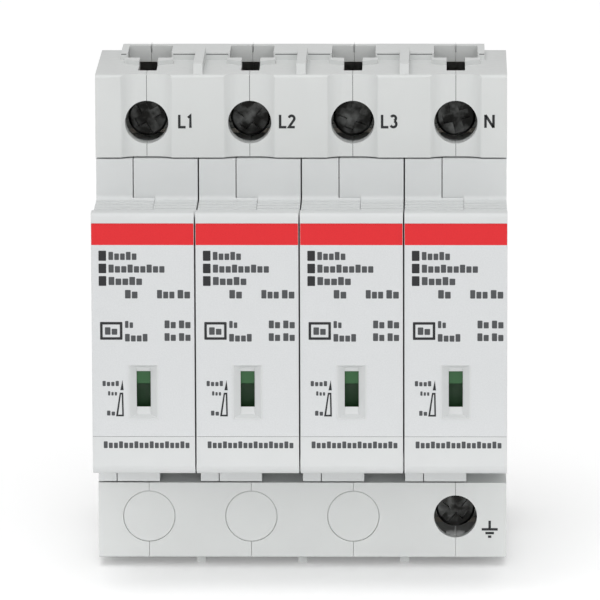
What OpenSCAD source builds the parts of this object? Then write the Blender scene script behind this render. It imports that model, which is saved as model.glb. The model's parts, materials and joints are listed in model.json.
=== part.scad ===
// Surge arrester for a rail: a riveted base of moulded shells that takes plug-in cartridges.
// X runs along the rail from the first pole to the last, Y runs into the wall and Z runs up.
// The origin lies on the front plane of the rail, on its centre line, at the middle of the row.
// Depths are counted from the front of the shoulders towards the wall.

/* [Row] */
// Poles in the row, each with its own cartridge
poles = 4; // [3:1:4]
// Width of one pole along the rail
pole_pitch = 17.8; // [17.6:0.1:18.4]
// Room left for the next device at each end of the row
end_room = 0.05; // [0.05:0.05:0.3]

/* [Base] */
// Rail plane to the front of the shoulders
shoulder_reach = 44; // [43:0.5:46]
// Upper terminal screws to the roof
roof_rise = 8.45; // [8:0.05:9.5]
// Lower terminal screws to the underside
floor_rise = 7.35; // [7:0.05:9]
// Height of the bay that takes the cartridges
bay_height = 57.5; // [55:0.1:60]
// Depth of the bay
bay_depth = 24; // [23.6:0.1:24.6]
// Thickness of the shell walls
shell_wall = 1.6; // [1.4:0.1:1.8]
// Thickness of the wall between two poles
pole_wall = 3; // [2.6:0.1:3.4]
// Depth of the flat roof
roof_depth = 27; // [26.4:0.1:28]
// Step down from the roof to the back of the base
rear_drop = 4; // [3.4:0.1:4.2]
// Depth of the slope between them
rear_run = 5; // [4:0.5:6]
// Rounding of the upper front edge
edge_round = 0.6; // [0.3:0.1:1]
// Chamfer on the lower front edge
edge_chamfer = 0.2; // [0.1:0.1:0.6]
// Gap between two shells
shell_seam = 0.06; // [0.04:0.02:0.12]

/* [Roof] */
// Width of the ribs between the poles
rib_width = 1.6; // [1:0.1:2.4]
// Height of the ribs on the roof
rib_height = 1.9; // [1.5:0.1:2.2]
// Depth at which the ribs on the roof start
rib_start = 0.7; // [0.7:0.1:4]
// Depth at which the ribs on the roof end
rib_end = 18.5; // [17.5:0.1:22]
// Height of the ribs and the back wall under the base
foot_rib_height = 1.6; // [1.2:0.1:2]
// Depth at which the ribs under the base start
foot_rib_start = 3.2; // [3:0.2:8]
// Height of the back wall on the roof
back_wall_height = 1.3; // [1:0.1:1.5]
// Depth at which the back wall starts
back_wall_start = 16.3; // [15.5:0.1:16.8]
// Depth of the back wall itself
back_wall_depth = 9.8; // [8.6:0.1:10.4]
// Distance of the back wall from each end of the row
back_wall_inset = 3.8; // [2:0.2:6]

/* [Terminal openings] */
// Diameter of the screw holes
hole_dia = 7.5; // [7.2:0.1:8]
// Width of the channel round each upper screw hole
channel_width = 8.9; // [8.4:0.1:10]
// Depth of the channel
channel_depth = 1.2; // [0.8:0.1:1.5]
// Radius of the hollow sides of the channel
channel_round = 3.9; // [3.2:0.1:4.4]
// Thickness of the front wall behind the channel
front_wall = 3; // [2.4:0.1:3.4]
// Width of a wire entry
entry_width = 7.6; // [7:0.1:8]
// Depth at which a wire entry starts
entry_start = 13.9; // [13.3:0.1:14.5]
// Depth at which a wire entry ends
entry_end = 24.1; // [23.6:0.1:24.6]
// Width of the slot in front of a wire entry
entry_slot = 3.2; // [2.6:0.1:4]
// Depth at which that slot starts
entry_slot_start = 4.9; // [4.6:0.1:7]
// Height of the low pads in front of a wire entry
entry_pad_rise = 0.8; // [0.5:0.1:1.1]
// Depth at which those pads start
entry_pad_start = 10.1; // [9.5:0.1:11]
// Diameter of the blanking plugs
plug_dia = 9; // [8.6:0.1:9.6]
// Groove round a blanking plug
plug_groove = 0.05; // [0.05:0.05:0.3]
// Thickness of the face of a blanking plug
plug_face = 0.8; // [0.6:0.1:1]

/* [Clamps] */
// Diameter of a screw head
head_dia = 6.9; // [6.4:0.1:7.1]
// Height of a screw head
head_height = 2.2; // [1.8:0.1:2.4]
// Depth of the face of a screw head
head_start = 7.4; // [7:0.1:7.6]
// Diameter of a screw shank
shank_dia = 4.9; // [4.5:0.1:5.1]
// Width of the driver slot
driver_slot = 1.6; // [1:0.1:1.8]
// Height of a clamp cage
cage_height = 6.2; // [5.6:0.1:6.6]
// Side walls and back wall of a clamp cage
cage_wall = 1.2; // [1:0.05:1.3]
// Thickness of the threaded wall of a clamp cage
cage_nut = 2; // [1.6:0.1:2.2]
// Room for the wire in an open clamp
wire_room = 6.6; // [6.2:0.1:6.8]
// Travel of a clamp cage
clamp_travel = 3.2; // [2.6:0.1:3.4]

/* [Contacts] */
// Width of the contact strips
contact_width = 7.2; // [6.6:0.1:7.6]
// Thickness of the clamp plates
plate_thickness = 1.5; // [1.2:0.1:1.7]
// Thickness of the contact strips
strip_thickness = 1; // [0.8:0.05:1.1]
// Thickness of the socket leaves
leaf_thickness = 0.8; // [0.6:0.05:0.9]
// Rail plane to the back of the sockets
socket_back = 8.2; // [7.6:0.1:8.6]
// Rail centre line to the cartridge blades
blade_height = 23; // [22.7:0.05:23.3]
// Width of the cartridge blades
blade_width = 6; // [5:0.1:6.4]
// Thickness of the cartridge blades
blade_thickness = 1.2; // [1:0.05:1.4]
// Length of the cartridge blades
blade_length = 20; // [18:0.5:22]
// Diameter of the tie rivets
rivet_dia = 3; // [2.6:0.1:3.2]

/* [Rail and clips] */
// Height of the rail
rail_height = 35; // [34.8:0.1:35.2]
// Thickness of the rail's lips
rail_lip = 1; // [0.8:0.1:1.2]
// Reach of the feet behind the rail plane
foot_reach = 4; // [3.8:0.1:4.6]
// Grip of the hook and the clips behind the rail's lips
hook_grip = 1.3; // [1:0.1:1.5]
// Width of the hidden part of a rail clip
clip_width = 10; // [9:0.2:11]
// Width of the part of a rail clip that shows
clip_neck = 7.6; // [7:0.1:8.4]
// Travel of a rail clip
clip_travel = 3; // [2.6:0.1:3.2]

/* [Cartridge] */
// Rail plane to the front of the cartridges
nose_reach = 64.8; // [63:0.2:66]
// Height of the front of a cartridge
nose_height = 45.6; // [45:0.1:46]
// Gap between two cartridges
cartridge_gap = 0.25; // [0.2:0.05:0.6]
// Wall of a cartridge
cartridge_wall = 1.5; // [1.3:0.1:1.6]
// Step from the front lip down to the grip shelf
shelf_drop = 1.4; // [1:0.1:1.7]
// Depth of the front lip
lip_depth = 3; // [2.4:0.1:3.6]
// Rounding of the lower front edge
nose_round = 1.7; // [1:0.1:2.2]
// Distance between two grip grooves
groove_pitch = 2.6; // [2.2:0.05:3]
// Width of the recess under the nose
recess_width = 6.9; // [5:0.1:7]
// Height of the recess under the nose
recess_height = 3.4; // [3:0.1:3.6]
// Gap between the body and the cover behind the nose
cover_seam = 0.15; // [0.08:0.01:0.2]
// Gap between the two on the nose
nose_seam = 0.05; // [0.04:0.01:0.1]
// Height of the lip above the label
lip_band = 1.75; // [1.5:0.05:2.2]
// Height of the label
label_height = 37.15; // [36:0.05:38]
// Depth that the label is let in
label_depth = 0.15; // [0.1:0.05:0.2]

/* [Cartridge inside] */
// Width of the status window
window_width = 2.4; // [2:0.1:3]
// Height of the status window
window_height = 8.2; // [7.6:0.1:8.4]
// Rail centre line down to the middle of the status window
window_drop = 8.3; // [8:0.1:8.6]
// Travel of the status flag
flag_travel = 9; // [8.6:0.1:9.2]
// Thickness of the varistor
varistor_thickness = 6; // [5:0.1:6.4]
// Height of the varistor
varistor_side = 34; // [32:0.2:34.4]
// Thickness of the disconnector strip
arm_thickness = 0.8; // [0.6:0.05:1]

/* [Hidden] */
// Sub-part to draw, or all of them
$fn = 48;
// Clearance of pieces that slide in each other
slide_gap = 0.2;
// Clearance of pieces that seat on each other
seat_gap = 0.05;
// Overlap that joins two volumes of one moulding
weld = 0.3;
// Excess that takes a cut clear of a face
past = 1;

// Planes and widths of the base
row_half = poles * pole_pitch / 2 - end_room;
shoulder_y = -shoulder_reach;
bay_half = bay_height / 2;
bay_floor_y = shoulder_y + bay_depth;
roof_end_y = shoulder_y + roof_depth;
slope_end_y = roof_end_y + rear_run;
cell_half = (pole_pitch - pole_wall) / 2;
cell_front_y = shoulder_y + channel_depth + front_wall;
low_front_y = shoulder_y + shell_wall;
cell_low = bay_half + shell_wall;
strip_low = cell_low + seat_gap;
strip_top = strip_low + strip_thickness;
terminal_height = strip_top + seat_gap + slide_gap + cage_height / 2;
top_reach = terminal_height + roof_rise;
bottom_reach = terminal_height + floor_rise;
back_top = top_reach - rear_drop;
back_bottom = bottom_reach - rear_drop;
entry_pad_past = 0.4;
entry_pad_slant = 1.9;
back_slit = 0.3;
back_slit_depth = 1.2;

// Rail seat, hook and clip
rail_half = rail_height / 2;
hook_room = 0.3;
lip_room = 0.4;
hook_y = rail_lip + lip_room;
hook_low = rail_half - hook_grip;
hook_nick = 0.4;
seat_half = rail_half + hook_room;
pad_half = hook_low - slide_gap;
pad_rise = 0.3;
clip_room = 1.5;
clip_mouth = rail_half + clip_room;
clip_front_y = 0.7;
clip_step_y = 2.3;
clip_back_y = foot_reach - slide_gap;
clip_tail = bottom_reach + foot_rib_height - slide_gap;
clip_nose = 0.6;
clip_nose_flat = 0.4;
clip_slot = 1.2;
clip_window_half = 1.9;
clip_window_drop = 6.5;
clip_window_top = rail_half + clip_window_drop;
clip_post_height = 1.6;
clip_spring_room = 8.6;
clip_post_top = clip_window_top + clip_spring_room;
clip_spring_y = (clip_front_y + clip_back_y) / 2;
clip_xs = [-(poles / 2 - 1) * pole_pitch, (poles / 2 - 1) * pole_pitch];

// Clamp stack, from the screw head to the back of the cage
head_y = shoulder_y + head_start;
head_back_y = head_y + head_height;
cage_start_y = head_back_y + clamp_travel + 2 * slide_gap;
cage_nut_end_y = cage_start_y + cage_nut;
nut_room = 0.3;
plate_y = cage_nut_end_y + nut_room;
plate_back_y = plate_y + plate_thickness;
cage_back_y = plate_back_y + wire_room;
cage_end_y = cage_back_y + cage_wall;
cage_room = contact_width + 2 * slide_gap;
cage_width = cage_room + 2 * cage_wall;
cage_bend = 0.8;
plate_past = 1.4;
plate_top = terminal_height + cage_height / 2 + plate_past;
rail_grip = 1;
head_edge = 0.4;
recess_edge = 0.35;
cross_share = 0.75;

// Sockets and blades
socket_back_y = -socket_back;
socket_face_y = socket_back_y - leaf_thickness;
leaf_start_y = bay_floor_y + shell_wall + slide_gap;
leaf_gap = blade_thickness / 2 + seat_gap;
leaf_end = leaf_gap + leaf_thickness;
blade_room = 1;
blade_tip_y = socket_face_y - blade_room;
blade_root_y = blade_tip_y - blade_length;
blade_taper = 0.35;
socket_half = contact_width / 2;
rib_support = 2;
bar_low = strip_top;
bar_height = 4.2;
bar_end = (poles - 1) * pole_pitch / 2 + socket_half;

// Tie rivets, each by depth and height
rivet_back_y = -4;
rivet_mid_y = -12;
rivet_mid_height = 10;
rivet_places = [
    [rivet_back_y, terminal_height],
    [rivet_back_y, -terminal_height],
    [rivet_mid_y, rivet_mid_height],
    [rivet_mid_y, -rivet_mid_height]
];
rivet_wall = 1.9;
rivet_boss = rivet_dia / 2 + rivet_wall;
rivet_lap = 0.7;
rivet_head = rivet_dia / 2 + rivet_lap;
rivet_head_height = 0.9;
plug_stem = 1.2;

// Cartridge
cart_half = (pole_pitch - cartridge_gap) / 2;
bay_play = 0.25;
floor_play = 0.3;
plug_half = bay_half - bay_play;
plug_end_y = bay_floor_y - floor_play;
nose_y = -nose_reach;
nose_half = nose_height / 2;
shelf = nose_half - shelf_drop;
lip_end_y = nose_y + lip_depth;
lip_edge = 0.8;
label_top = nose_half - lip_band;
label_low = label_top - label_height;
front_plate = 2.8;
front_plate_y = nose_y + front_plate;
room_half = cart_half - cartridge_wall;
nose_room_y = nose_y + cartridge_wall;
ledge_back_y = shoulder_y + cartridge_wall;
plug_room_y = plug_end_y - cartridge_wall;
recess_x = cart_half - recess_width;
recess_low = plug_half - recess_height;
recess_depth = 8;
shelf_fillet = 0.8;
groove_width = 0.6;
groove_depth = 0.35;
grip_end = 3.3;
grip_length = shoulder_y - shelf_fillet - lip_end_y - grip_end;
groove_count = floor(grip_length / groove_pitch);
part_nose_x = 1.4;
part_top_x = -2.3;
part_low_x = -5.5;

// Status window, flag and spring
window_top = -window_drop + window_height / 2;
window_low = -window_drop - window_height / 2;
window_bevel = 1.2;
window_side_bevel = 1.35;
window_ramp_top = 0.75;
window_ramp_low = 1.3;
window_end_bevel = 0.6;
flag_half = 2;
flag_block = 4.2;
flag_tongue = 1.8;
flag_face = 2.95;
flag_cover = 10;
flag_front_y = nose_room_y + slide_gap;
flag_plate_y = flag_front_y + flag_block;
flag_back_y = flag_plate_y + flag_tongue;
flag_step = window_top - flag_face;
flag_top = window_top + flag_cover;
flag_stop = flag_top + flag_travel + slide_gap;
flag_low = -(nose_half - cartridge_wall) + seat_gap;
guide_width = 1;
guide_end_y = front_plate_y - cover_seam;
wing_room = 1;
wing_x = wing_room - room_half;
wing_low = 2;
wing_height = 2;
flag_spring_x = (wing_x - flag_half - guide_width) / 2;
spring_ledge = -8;
spring_radius = 1.1;
spring_wire = 0.4;
spring_turns = 6;
flag_spring_y = guide_end_y + slide_gap + spring_radius + spring_wire / 2;

// Varistor and what holds it
varistor_side_room = 2.2;
varistor_back_room = 3.2;
varistor_front_room = 1.1;
varistor_left = varistor_side_room - room_half;
varistor_right = varistor_left + varistor_thickness;
varistor_back_y = plug_room_y - varistor_back_room;
varistor_front_y = flag_back_y + varistor_front_room;
varistor_half = varistor_side / 2;
varistor_round = 2.5;
holder_width = 2;
holder_inset = 4;
holder_edge = 5;
holder_rise = varistor_half - holder_edge;
arm_right = varistor_right + seat_gap + arm_thickness;
arm_width = 4;
arm_pad = 9;

terminals = concat([for (i = [1 : poles - 1]) str("l", i)], ["n", "earth"]);
driver_turns = [62, 35, 20, 75, 50];

// Place of a pole along the row, counted from 1
function pole_x(i) = (i - (poles + 1) / 2) * pole_pitch;

// Points of an arc about a centre
function arc(centre, radius, from, to, steps = 6) = [
    for (k = [0 : steps])
        let (a = from + (to - from) * k / steps)
            centre + radius * [cos(a), sin(a)]
];

// Outline in depth and height, drawn out along the row
module along_row(x0, x1, outline) {
    translate([x0, 0, 0])
        rotate([90, 0, 90])
            linear_extrude(height = x1 - x0)
                polygon(outline);
}

// Block between two corners
module block(low, high) {
    translate(low)
        cube(high - low);
}

// Rod along the row
module rod_along_row(x0, x1, y, z, radius) {
    translate([x0, y, z])
        rotate([0, 90, 0])
            cylinder(h = x1 - x0, r = radius);
}

// Rod along the depth
module rod_along_depth(y0, y1, z, radius) {
    translate([0, y1, z])
        rotate([90, 0, 0])
            cylinder(h = y1 - y0, r = radius);
}

// Round wire wound up along Z from its lower end
module coil(radius, wire, length, turns) {
    turn_steps = 12;
    steps = turns * turn_steps;
    sides = 6;
    rise = (length - wire) / steps;
    points = [
        for (k = [0 : steps], j = [0 : sides - 1])
            let (
                a = 360 * k / turn_steps,
                b = 360 * j / sides,
                r = radius + wire / 2 * cos(b)
            )
                [r * cos(a), r * sin(a), wire / 2 + rise * k + wire / 2 * sin(b)]
    ];
    walls = [
        for (k = [0 : steps - 1], j = [0 : sides - 1], half = [0, 1])
            let (
                a = k * sides + j,
                b = k * sides + (j + 1) % sides,
                c = a + sides,
                d = b + sides
            )
                half == 0 ? [a, b, d] : [a, d, c]
    ];
    start = [for (j = [0 : sides - 1]) sides - 1 - j];
    end = [for (j = [0 : sides - 1]) steps * sides + j];
    polyhedron(points, concat(walls, [start, end]));
}

// Side view of the base
base_outline = concat(
    [[shoulder_y, bay_half]],
    arc([shoulder_y + edge_round, top_reach - edge_round], edge_round, 180, 90, 4),
    [
        [roof_end_y, top_reach],
        [slope_end_y, back_top],
        [foot_reach, back_top],
        [foot_reach, hook_low],
        [hook_y + hook_nick, hook_low],
        [hook_y, hook_low + hook_nick],
        [hook_y, seat_half],
        [-pad_rise, seat_half],
        [-pad_rise, pad_half],
        [0, pad_half],
        [0, -pad_half],
        [-pad_rise, -pad_half],
        [-pad_rise, -clip_mouth],
        [foot_reach, -clip_mouth],
        [foot_reach, -back_bottom],
        [slope_end_y, -back_bottom],
        [roof_end_y, -bottom_reach],
        [shoulder_y + edge_chamfer, -bottom_reach],
        [shoulder_y, edge_chamfer - bottom_reach],
        [shoulder_y, -bay_half],
        [bay_floor_y, -bay_half],
        [bay_floor_y, bay_half]
    ]
);

// Side view of the hollow inside a pole: two terminal chambers and the contact room between them
cell_outline = [
    [cell_front_y, cell_low],
    [cell_front_y, top_reach - shell_wall],
    [roof_end_y - shell_wall / 2, top_reach - shell_wall],
    [slope_end_y - shell_wall / 2, back_top - shell_wall],
    [-shell_wall, back_top - shell_wall],
    [-shell_wall, shell_wall - back_bottom],
    [slope_end_y - shell_wall / 2, shell_wall - back_bottom],
    [roof_end_y - shell_wall / 2, shell_wall - bottom_reach],
    [low_front_y, shell_wall - bottom_reach],
    [low_front_y, -cell_low],
    [bay_floor_y + shell_wall, -cell_low],
    [bay_floor_y + shell_wall, cell_low]
];

// Low relief of the roof over part of the row, with the start, end and height of its ribs
module roof_relief(x0, x1, roof, rise, ribs) {
    wall_from = max(x0, back_wall_inset - row_half);
    wall_to = min(x1, row_half - back_wall_inset);
    block(
        [wall_from, shoulder_y + back_wall_start, roof - weld],
        [wall_to, shoulder_y + back_wall_start + back_wall_depth, roof + rise]
    );
    for (i = [1 : poles - 1]) {
        x = pole_x(i) + pole_pitch / 2;
        if (x > x0 && x < x1)
            along_row(x - rib_width / 2, x + rib_width / 2, [
                [shoulder_y + ribs[0], roof - weld],
                [shoulder_y + ribs[0], roof + ribs[2]],
                [shoulder_y + ribs[1], roof + ribs[2]],
                [shoulder_y + ribs[1], roof - weld]
            ]);
    }
}

// Low pad in front of a wire entry, which the slot parts in two
module entry_pad(roof) {
    outer = entry_width / 2 + entry_pad_past;
    translate([0, shoulder_y, roof - weld])
        linear_extrude(height = entry_pad_rise + weld)
            polygon([
                [-entry_slot / 2, entry_pad_start],
                [entry_slot / 2, entry_pad_start],
                [outer, entry_pad_start + entry_pad_slant],
                [outer, entry_start + weld],
                [-outer, entry_start + weld],
                [-outer, entry_pad_start + entry_pad_slant]
            ]);
}

// Wire entry with the slot in front of it and the slit in the back wall behind it
module entry_cut(roof, rise) {
    block(
        [-entry_width / 2, shoulder_y + entry_start, roof - 2 * shell_wall],
        [entry_width / 2, shoulder_y + entry_end, roof + rise + past]
    );
    block(
        [-entry_slot / 2, shoulder_y + entry_slot_start, roof - 2 * shell_wall],
        [entry_slot / 2, shoulder_y + entry_start + weld, roof + rise + past]
    );
    block(
        [-back_slit / 2, shoulder_y + entry_end - weld, roof],
        [back_slit / 2, shoulder_y + entry_end + back_slit_depth, roof + rise + past]
    );
}

// Channel with hollow sides down an upper shoulder
module channel_cut() {
    half = channel_width / 2;
    steepest = acos(1 - channel_depth / channel_round);
    centre_x = half - channel_round * sin(steepest);
    centre_y = channel_depth - channel_round;
    translate([0, shoulder_y, bay_half - past])
        linear_extrude(height = top_reach - bay_half + 2 * past)
            polygon(concat(
                [[-half, -past]],
                arc([-centre_x, centre_y], channel_round, 90 + steepest, 90),
                arc([centre_x, centre_y], channel_round, 90, 90 - steepest),
                [[half, -past]]
            ));
}

// Screw hole through the front wall
module hole_cut(z) {
    rod_along_depth(shoulder_y - past, cell_front_y + past, z, hole_dia / 2);
}

// Seat of a blanking plug round a lower screw hole
module plug_seat_cut() {
    rod_along_depth(
        shoulder_y - past, shoulder_y + plug_face, -terminal_height, plug_dia / 2 + plug_groove
    );
}

// Slots in the bay floor for the two blades of a cartridge
module blade_cuts() {
    for (z = [-blade_height, blade_height])
        block(
            [-blade_width / 2 - 2 * slide_gap, bay_floor_y - past, z - blade_thickness / 2 - 2 * slide_gap],
            [blade_width / 2 + 2 * slide_gap, leaf_start_y, z + blade_thickness / 2 + 2 * slide_gap]
        );
}

// Rails that guide a clamp cage, on both sides of a chamber
module cage_rails(z) {
    for (side = [0, 1])
        mirror([side, 0, 0])
            block(
                [cage_width / 2 + slide_gap, cell_front_y - weld, z - rail_grip],
                [cell_half + weld, cage_end_y + rail_grip, z + rail_grip]
            );
}

// Ribs and bosses inside a pole
module cell_inside(is_last) {
    reach = cell_half + weld;
    for (place = rivet_places)
        rod_along_row(-reach, reach, place[0], place[1], rivet_boss);
    for (z = [blade_height + leaf_end, -blade_height - leaf_end - rib_support])
        block(
            [-reach, socket_back_y + seat_gap, z],
            [reach, weld - shell_wall, z + rib_support]
        );
    cage_rails(terminal_height);
    if (is_last)
        cage_rails(-terminal_height);
}

// Openings of one pole
module cell_openings(is_last) {
    channel_cut();
    hole_cut(terminal_height);
    hole_cut(-terminal_height);
    entry_cut(top_reach, back_wall_height);
    blade_cuts();
    if (is_last)
        mirror([0, 0, 1])
            entry_cut(bottom_reach, foot_rib_height);
    else
        plug_seat_cut();
}

// Groove that a rail clip slides in, with its post left standing
module clip_groove() {
    difference() {
        union() {
            block(
                [-clip_width / 2 - slide_gap, clip_front_y - slide_gap, -bottom_reach - past],
                [clip_width / 2 + slide_gap, clip_step_y + slide_gap, past - clip_mouth]
            );
            block(
                [-clip_neck / 2 - slide_gap, clip_step_y, -bottom_reach - past],
                [clip_neck / 2 + slide_gap, foot_reach + past, past - clip_mouth]
            );
        }
        block(
            [slide_gap - clip_window_half, 0, -clip_post_top - clip_post_height],
            [clip_window_half - slide_gap, clip_back_y, -clip_post_top]
        );
    }
}

// Holes for the tie rivets, sunk for their heads at both ends of the row
module rivet_cuts() {
    for (place = rivet_places) {
        rod_along_row(-row_half - past, row_half + past, place[0], place[1], rivet_dia / 2 + seat_gap);
        for (x = [-row_half - past, row_half - rivet_head_height])
            rod_along_row(
                x, x + rivet_head_height + past, place[0], place[1], rivet_head + seat_gap
            );
    }
}

// Slot for the earth busbar through the walls between the poles
module busbar_cut() {
    block(
        [-bar_end - slide_gap, socket_face_y - slide_gap, -bar_low - slide_gap],
        [bar_end + slide_gap, socket_back_y + slide_gap, bar_height - bar_low + slide_gap]
    );
}

// One shell of the base, counted from 0 at the left end
module base_shell(i) {
    x0 = i == 0 ? -row_half : pole_x(i) + shell_seam / 2;
    x1 = i == poles ? row_half : pole_x(i + 1) - shell_seam / 2;
    roof_ribs = [rib_start, rib_end, rib_height];
    foot_ribs = [foot_rib_start, back_wall_start + weld, foot_rib_height];
    beside = [for (p = [i, i + 1]) if (p > 0 && p <= poles) p];
    color([0.83, 0.84, 0.83])
        intersection() {
            block(
                [x0, -2 * shoulder_reach, -2 * bottom_reach],
                [x1, 2 * shoulder_reach, 2 * top_reach]
            );
            difference() {
                union() {
                    difference() {
                        union() {
                            along_row(x0, x1, base_outline);
                            roof_relief(x0, x1, top_reach, back_wall_height, roof_ribs);
                            mirror([0, 0, 1])
                                roof_relief(x0, x1, bottom_reach, foot_rib_height, foot_ribs);
                            for (p = beside)
                                translate([pole_x(p), 0, 0])
                                    entry_pad(top_reach);
                            if (i >= poles - 1)
                                translate([pole_x(poles), 0, 0])
                                    mirror([0, 0, 1])
                                        entry_pad(bottom_reach);
                        }
                        for (p = beside)
                            along_row(pole_x(p) - cell_half, pole_x(p) + cell_half, cell_outline);
                    }
                    for (p = beside)
                        translate([pole_x(p), 0, 0])
                            cell_inside(p == poles);
                }
                for (p = beside)
                    translate([pole_x(p), 0, 0])
                        cell_openings(p == poles);
                for (x = clip_xs)
                    if (x > x0 && x < x1)
                        translate([x, 0, 0])
                            clip_groove();
                rivet_cuts();
                busbar_cut();
            }
        }
}

// Tie rivets with a head at each end
module tie_rivets() {
    color([0.62, 0.63, 0.65])
        for (place = rivet_places) {
            rod_along_row(-row_half, row_half, place[0], place[1], rivet_dia / 2);
            for (x = [-row_half, row_half - rivet_head_height])
                rod_along_row(x, x + rivet_head_height, place[0], place[1], rivet_head);
        }
}

// Plugs that close the unused lower screw holes
module blanking_plugs() {
    color([0.83, 0.84, 0.83])
        for (i = [1 : poles - 1])
            translate([pole_x(i), 0, 0]) {
                rod_along_depth(shoulder_y, shoulder_y + plug_face, -terminal_height, plug_dia / 2);
                rod_along_depth(
                    shoulder_y, low_front_y + plug_stem, -terminal_height, hole_dia / 2 - seat_gap
                );
            }
}

// Place of a terminal: the poles on top, then the earth below the last pole
module at_terminal(t) {
    if (t < poles)
        translate([pole_x(t + 1), 0, terminal_height])
            children();
    else
        translate([pole_x(poles), 0, -terminal_height])
            mirror([0, 0, 1])
                children();
}

// Screw with a slotted cross recess
module terminal_screw(t) {
    slot_depth = head_height / 2;
    slot_half = head_dia / 2 - recess_edge;
    color([0.2, 0.2, 0.21])
        at_terminal(t)
            difference() {
                rotate([90, 0, 0])
                    rotate_extrude()
                        polygon([
                            [0, -head_y],
                            [head_dia / 2 - head_edge, -head_y],
                            [head_dia / 2, -head_y - head_edge],
                            [head_dia / 2, -head_back_y],
                            [shank_dia / 2, -head_back_y],
                            [shank_dia / 2, head_edge + seat_gap - plate_y],
                            [shank_dia / 2 - head_edge, seat_gap - plate_y],
                            [0, seat_gap - plate_y]
                        ]);
                translate([0, head_y, 0])
                    rotate([0, driver_turns[t], 0]) {
                        cube([2 * slot_half, 2 * slot_depth, driver_slot], center = true);
                        cube([driver_slot, 2 * slot_depth, 2 * cross_share * slot_half], center = true);
                    }
            }
}

// Clamp cage: a folded loop with a threaded wall
module terminal_cage(t) {
    color([0.75, 0.74, 0.7])
        at_terminal(t)
            difference() {
                translate([0, cage_end_y, -cage_height / 2])
                    linear_extrude(height = cage_height)
                        polygon([
                            [-cage_width / 2, cage_start_y - cage_end_y],
                            [cage_width / 2, cage_start_y - cage_end_y],
                            [cage_width / 2, -cage_bend],
                            [cage_width / 2 - cage_bend, 0],
                            [cage_bend - cage_width / 2, 0],
                            [-cage_width / 2, -cage_bend]
                        ]);
                block(
                    [-cage_room / 2, cage_nut_end_y, -cage_height],
                    [cage_room / 2, cage_back_y, cage_height]
                );
                rod_along_depth(
                    cage_start_y - past, cage_nut_end_y + past, 0, shank_dia / 2 + seat_gap
                );
            }
}

// Side view of a clamp plate with the strip that carries it to the back of the base
clamp_outline = [
    [plate_y, strip_low],
    [socket_back_y, strip_low],
    [socket_back_y, strip_top],
    [plate_back_y, strip_top],
    [plate_back_y, plate_top],
    [plate_y, plate_top]
];

// Side view of a socket: a back with two leaves that grip a blade
socket_outline = [
    [socket_back_y, strip_top],
    [socket_face_y, strip_top],
    [socket_face_y, blade_height + leaf_end],
    [leaf_start_y, blade_height + leaf_end],
    [leaf_start_y, blade_height + leaf_gap],
    [socket_face_y, blade_height + leaf_gap],
    [socket_face_y, blade_height - leaf_gap],
    [leaf_start_y, blade_height - leaf_gap],
    [leaf_start_y, blade_height - leaf_end],
    [socket_back_y, blade_height - leaf_end]
];

// Contact from a line terminal to the upper blade of a cartridge
module line_contact(i) {
    color([0.8, 0.6, 0.4])
        translate([pole_x(i), 0, 0]) {
            along_row(-socket_half, socket_half, clamp_outline);
            along_row(-socket_half, socket_half, socket_outline);
        }
}

// Busbar from the lower blades of all cartridges to the earth terminal
module earth_busbar() {
    color([0.8, 0.6, 0.4])
        mirror([0, 0, 1]) {
            for (i = [1 : poles])
                translate([pole_x(i), 0, 0])
                    along_row(-socket_half, socket_half, socket_outline);
            block(
                [-bar_end, socket_face_y, bar_low - bar_height],
                [bar_end, socket_back_y, bar_low]
            );
            translate([pole_x(poles), 0, 0])
                along_row(-socket_half, socket_half, clamp_outline);
        }
}

// Sprung clip that holds the rail from below
module rail_clip(x) {
    lip_top = -hook_low;
    color([0.32, 0.33, 0.34])
        translate([x, 0, 0])
            difference() {
                union() {
                    along_row(-clip_neck / 2, clip_neck / 2, [
                        [hook_y, lip_top - clip_nose],
                        [hook_y + clip_nose, lip_top],
                        [hook_y + clip_nose + clip_nose_flat, lip_top],
                        [clip_back_y, lip_top - hook_grip],
                        [clip_back_y, -clip_tail],
                        [clip_front_y, -clip_tail],
                        [clip_front_y, -rail_half - hook_room],
                        [hook_y, -rail_half - hook_room]
                    ]);
                    block(
                        [-clip_width / 2, clip_front_y, -back_bottom],
                        [clip_width / 2, clip_step_y, -clip_mouth - clip_travel]
                    );
                }
                block(
                    [-clip_window_half, -past, -clip_post_top - clip_post_height - seat_gap],
                    [clip_window_half, foot_reach + past, -clip_window_top]
                );
                block(
                    [-clip_neck / 4, -past, past - clip_tail],
                    [clip_neck / 4, foot_reach + past, past - clip_tail + clip_slot]
                );
            }
}

// Spring between the post of the base and the window of a clip
module rail_clip_spring(x) {
    color([0.7, 0.7, 0.72])
        translate([x, clip_spring_y, seat_gap - clip_post_top])
            coil(spring_radius, spring_wire, clip_spring_room - 2 * seat_gap, spring_turns);
}

// Side view of a cartridge: nose with lip, grip shelf and round lower edge, and the plug behind it
cartridge_outline = concat(
    [
        [plug_end_y, -plug_half],
        [plug_end_y, plug_half],
        [shoulder_y, plug_half]
    ],
    arc([shoulder_y - shelf_fillet, shelf + shelf_fillet], shelf_fillet, 0, -90, 4),
    [
        [lip_end_y + shelf_drop / 2, shelf],
        [lip_end_y, nose_half]
    ],
    arc([nose_y + lip_edge, nose_half - lip_edge], lip_edge, 90, 180, 4),
    [
        [nose_y, label_top],
        [nose_y + label_depth, label_top],
        [nose_y + label_depth, label_low],
        [nose_y, label_low]
    ],
    arc([nose_y + nose_round, nose_round - nose_half], nose_round, 180, 270),
    [
        [shoulder_y, -nose_half],
        [shoulder_y, -plug_half]
    ]
);

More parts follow.
